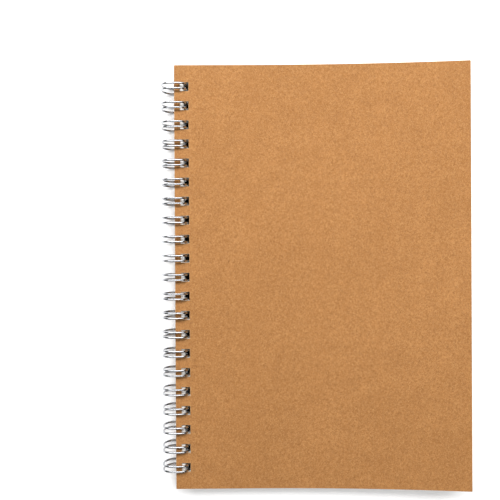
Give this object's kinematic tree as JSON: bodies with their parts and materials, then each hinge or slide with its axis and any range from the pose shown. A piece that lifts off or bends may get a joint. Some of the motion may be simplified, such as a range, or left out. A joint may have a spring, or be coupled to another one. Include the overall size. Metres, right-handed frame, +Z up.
{
  "type": "sketchbook",
  "caption": "Portrait sketchbook with kraft board covers and punched drawing leaves on a silver twin-loop wire binding; it opens like a fan about the wire.",
  "frame": {"origin": "under the middle of the closed book, at the height of the table it lies on", "axes": "+X from the binding to the free edge, +Y to the top of the page, +Z up out of the front cover"},
  "size_m": [0.1364, 0.1886, 0.0132],
  "materials": {
    "kraft_board": "uncoated kraft board",
    "drawing_paper": "uncoated drawing paper",
    "binding_wire": "bright silver-coated steel wire"
  },
  "bodies": {
    "back_cover_and_wire": {"back_cover": "kraft_board", "twin_loop_wire": "binding_wire"},
    "front_cover": {"front_cover": "kraft_board"},
    "leaf_01": {"leaf_01": "drawing_paper"},
    "leaf_02": {"leaf_02": "drawing_paper"},
    "leaf_03": {"leaf_03": "drawing_paper"},
    "leaf_04": {"leaf_04": "drawing_paper"},
    "leaf_05": {"leaf_05": "drawing_paper"},
    "leaf_06": {"leaf_06": "drawing_paper"},
    "leaf_07": {"leaf_07": "drawing_paper"},
    "leaf_08": {"leaf_08": "drawing_paper"},
    "leaf_09": {"leaf_09": "drawing_paper"},
    "leaf_10": {"leaf_10": "drawing_paper"},
    "leaf_11": {"leaf_11": "drawing_paper"},
    "leaf_12": {"leaf_12": "drawing_paper"},
    "leaf_13": {"leaf_13": "drawing_paper"},
    "leaf_14": {"leaf_14": "drawing_paper"},
    "leaf_15": {"leaf_15": "drawing_paper"},
    "leaf_16": {"leaf_16": "drawing_paper"},
    "leaf_17": {"leaf_17": "drawing_paper"},
    "leaf_18": {"leaf_18": "drawing_paper"},
    "leaf_19": {"leaf_19": "drawing_paper"},
    "leaf_20": {"leaf_20": "drawing_paper"},
    "leaf_21": {"leaf_21": "drawing_paper"},
    "leaf_22": {"leaf_22": "drawing_paper"},
    "leaf_23": {"leaf_23": "drawing_paper"},
    "leaf_24": {"leaf_24": "drawing_paper"},
    "leaf_25": {"leaf_25": "drawing_paper"},
    "leaf_26": {"leaf_26": "drawing_paper"},
    "leaf_27": {"leaf_27": "drawing_paper"},
    "leaf_28": {"leaf_28": "drawing_paper"},
    "leaf_29": {"leaf_29": "drawing_paper"},
    "leaf_30": {"leaf_30": "drawing_paper"}
  },
  "joints": [
    {"name": "front_cover_turn", "type": "hinge", "parent": "back_cover_and_wire", "child": "front_cover", "pos_m": [-0.06206, 0, 0.00617], "axis": [0, -1, 0], "range_deg": [0, 179]},
    {"name": "leaf_01_turn", "type": "hinge", "parent": "back_cover_and_wire", "child": "leaf_01", "pos_m": [-0.06206, 0, 0.00617], "axis": [0, -1, 0], "range_deg": [0, 178.97]},
    {"name": "leaf_02_turn", "type": "hinge", "parent": "back_cover_and_wire", "child": "leaf_02", "pos_m": [-0.06206, 0, 0.00617], "axis": [0, -1, 0], "range_deg": [0, 178.79]},
    {"name": "leaf_03_turn", "type": "hinge", "parent": "back_cover_and_wire", "child": "leaf_03", "pos_m": [-0.06206, 0, 0.00617], "axis": [0, -1, 0], "range_deg": [0, 178.35]},
    {"name": "leaf_04_turn", "type": "hinge", "parent": "back_cover_and_wire", "child": "leaf_04", "pos_m": [-0.06206, 0, 0.00617], "axis": [0, -1, 0], "range_deg": [0, 177.51]},
    {"name": "leaf_05_turn", "type": "hinge", "parent": "back_cover_and_wire", "child": "leaf_05", "pos_m": [-0.06206, 0, 0.00617], "axis": [0, -1, 0], "range_deg": [0, 176.15]},
    {"name": "leaf_06_turn", "type": "hinge", "parent": "back_cover_and_wire", "child": "leaf_06", "pos_m": [-0.06206, 0, 0.00617], "axis": [0, -1, 0], "range_deg": [0, 174.1]},
    {"name": "leaf_07_turn", "type": "hinge", "parent": "back_cover_and_wire", "child": "leaf_07", "pos_m": [-0.06206, 0, 0.00617], "axis": [0, -1, 0], "range_deg": [0, 171.15]},
    {"name": "leaf_08_turn", "type": "hinge", "parent": "back_cover_and_wire", "child": "leaf_08", "pos_m": [-0.06206, 0, 0.00617], "axis": [0, -1, 0], "range_deg": [0, 167.09]},
    {"name": "leaf_09_turn", "type": "hinge", "parent": "back_cover_and_wire", "child": "leaf_09", "pos_m": [-0.06206, 0, 0.00617], "axis": [0, -1, 0], "range_deg": [0, 161.7]},
    {"name": "leaf_10_turn", "type": "hinge", "parent": "back_cover_and_wire", "child": "leaf_10", "pos_m": [-0.06206, 0, 0.00617], "axis": [0, -1, 0], "range_deg": [0, 154.79]},
    {"name": "leaf_11_turn", "type": "hinge", "parent": "back_cover_and_wire", "child": "leaf_11", "pos_m": [-0.06206, 0, 0.00617], "axis": [0, -1, 0], "range_deg": [0, 146.22]},
    {"name": "leaf_12_turn", "type": "hinge", "parent": "back_cover_and_wire", "child": "leaf_12", "pos_m": [-0.06206, 0, 0.00617], "axis": [0, -1, 0], "range_deg": [0, 135.93]},
    {"name": "leaf_13_turn", "type": "hinge", "parent": "back_cover_and_wire", "child": "leaf_13", "pos_m": [-0.06206, 0, 0.00617], "axis": [0, -1, 0], "range_deg": [0, 124.04]},
    {"name": "leaf_14_turn", "type": "hinge", "parent": "back_cover_and_wire", "child": "leaf_14", "pos_m": [-0.06206, 0, 0.00617], "axis": [0, -1, 0], "range_deg": [0, 110.81]},
    {"name": "leaf_15_turn", "type": "hinge", "parent": "back_cover_and_wire", "child": "leaf_15", "pos_m": [-0.06206, 0, 0.00617], "axis": [0, -1, 0], "range_deg": [0, 96.71]},
    {"name": "leaf_16_turn", "type": "hinge", "parent": "back_cover_and_wire", "child": "leaf_16", "pos_m": [-0.06206, 0, 0.00617], "axis": [0, -1, 0], "range_deg": [0, 82.31]},
    {"name": "leaf_17_turn", "type": "hinge", "parent": "back_cover_and_wire", "child": "leaf_17", "pos_m": [-0.06206, 0, 0.00617], "axis": [0, -1, 0], "range_deg": [0, 68.21]},
    {"name": "leaf_18_turn", "type": "hinge", "parent": "back_cover_and_wire", "child": "leaf_18", "pos_m": [-0.06206, 0, 0.00617], "axis": [0, -1, 0], "range_deg": [0, 54.98]},
    {"name": "leaf_19_turn", "type": "hinge", "parent": "back_cover_and_wire", "child": "leaf_19", "pos_m": [-0.06206, 0, 0.00617], "axis": [0, -1, 0], "range_deg": [0, 43.09]},
    {"name": "leaf_20_turn", "type": "hinge", "parent": "back_cover_and_wire", "child": "leaf_20", "pos_m": [-0.06206, 0, 0.00617], "axis": [0, -1, 0], "range_deg": [0, 32.8]},
    {"name": "leaf_21_turn", "type": "hinge", "parent": "back_cover_and_wire", "child": "leaf_21", "pos_m": [-0.06206, 0, 0.00617], "axis": [0, -1, 0], "range_deg": [0, 24.23]},
    {"name": "leaf_22_turn", "type": "hinge", "parent": "back_cover_and_wire", "child": "leaf_22", "pos_m": [-0.06206, 0, 0.00617], "axis": [0, -1, 0], "range_deg": [0, 17.32]},
    {"name": "leaf_23_turn", "type": "hinge", "parent": "back_cover_and_wire", "child": "leaf_23", "pos_m": [-0.06206, 0, 0.00617], "axis": [0, -1, 0], "range_deg": [0, 11.93]},
    {"name": "leaf_24_turn", "type": "hinge", "parent": "back_cover_and_wire", "child": "leaf_24", "pos_m": [-0.06206, 0, 0.00617], "axis": [0, -1, 0], "range_deg": [0, 7.87]},
    {"name": "leaf_25_turn", "type": "hinge", "parent": "back_cover_and_wire", "child": "leaf_25", "pos_m": [-0.06206, 0, 0.00617], "axis": [0, -1, 0], "range_deg": [0, 4.92]},
    {"name": "leaf_26_turn", "type": "hinge", "parent": "back_cover_and_wire", "child": "leaf_26", "pos_m": [-0.06206, 0, 0.00617], "axis": [0, -1, 0], "range_deg": [0, 2.87]},
    {"name": "leaf_27_turn", "type": "hinge", "parent": "back_cover_and_wire", "child": "leaf_27", "pos_m": [-0.06206, 0, 0.00617], "axis": [0, -1, 0], "range_deg": [0, 1.51]},
    {"name": "leaf_28_turn", "type": "hinge", "parent": "back_cover_and_wire", "child": "leaf_28", "pos_m": [-0.06206, 0, 0.00617], "axis": [0, -1, 0], "range_deg": [0, 0.672]},
    {"name": "leaf_29_turn", "type": "hinge", "parent": "back_cover_and_wire", "child": "leaf_29", "pos_m": [-0.06206, 0, 0.00617], "axis": [0, -1, 0], "range_deg": [0, 0.225]},
    {"name": "leaf_30_turn", "type": "hinge", "parent": "back_cover_and_wire", "child": "leaf_30", "pos_m": [-0.06206, 0, 0.00617], "axis": [0, -1, 0], "range_deg": [0, 0.046]}
  ],
  "couplings": [
    {"joint": "leaf_01_turn", "follows": "front_cover_turn", "ratio": 0.9998},
    {"joint": "leaf_02_turn", "follows": "front_cover_turn", "ratio": 0.9988},
    {"joint": "leaf_03_turn", "follows": "front_cover_turn", "ratio": 0.9963},
    {"joint": "leaf_04_turn", "follows": "front_cover_turn", "ratio": 0.9916},
    {"joint": "leaf_05_turn", "follows": "front_cover_turn", "ratio": 0.984},
    {"joint": "leaf_06_turn", "follows": "front_cover_turn", "ratio": 0.9726},
    {"joint": "leaf_07_turn", "follows": "front_cover_turn", "ratio": 0.9561},
    {"joint": "leaf_08_turn", "follows": "front_cover_turn", "ratio": 0.9334},
    {"joint": "leaf_09_turn", "follows": "front_cover_turn", "ratio": 0.9033},
    {"joint": "leaf_10_turn", "follows": "front_cover_turn", "ratio": 0.8647},
    {"joint": "leaf_11_turn", "follows": "front_cover_turn", "ratio": 0.8168},
    {"joint": "leaf_12_turn", "follows": "front_cover_turn", "ratio": 0.7593},
    {"joint": "leaf_13_turn", "follows": "front_cover_turn", "ratio": 0.6929},
    {"joint": "leaf_14_turn", "follows": "front_cover_turn", "ratio": 0.619},
    {"joint": "leaf_15_turn", "follows": "front_cover_turn", "ratio": 0.5402},
    {"joint": "leaf_16_turn", "follows": "front_cover_turn", "ratio": 0.4598},
    {"joint": "leaf_17_turn", "follows": "front_cover_turn", "ratio": 0.381},
    {"joint": "leaf_18_turn", "follows": "front_cover_turn", "ratio": 0.3071},
    {"joint": "leaf_19_turn", "follows": "front_cover_turn", "ratio": 0.2407},
    {"joint": "leaf_20_turn", "follows": "front_cover_turn", "ratio": 0.1832},
    {"joint": "leaf_21_turn", "follows": "front_cover_turn", "ratio": 0.1353},
    {"joint": "leaf_22_turn", "follows": "front_cover_turn", "ratio": 0.0967},
    {"joint": "leaf_23_turn", "follows": "front_cover_turn", "ratio": 0.0666},
    {"joint": "leaf_24_turn", "follows": "front_cover_turn", "ratio": 0.0439},
    {"joint": "leaf_25_turn", "follows": "front_cover_turn", "ratio": 0.0274},
    {"joint": "leaf_26_turn", "follows": "front_cover_turn", "ratio": 0.016},
    {"joint": "leaf_27_turn", "follows": "front_cover_turn", "ratio": 0.0084},
    {"joint": "leaf_28_turn", "follows": "front_cover_turn", "ratio": 0.0037},
    {"joint": "leaf_29_turn", "follows": "front_cover_turn", "ratio": 0.0012},
    {"joint": "leaf_30_turn", "follows": "front_cover_turn", "ratio": 0.0002}
  ]
}
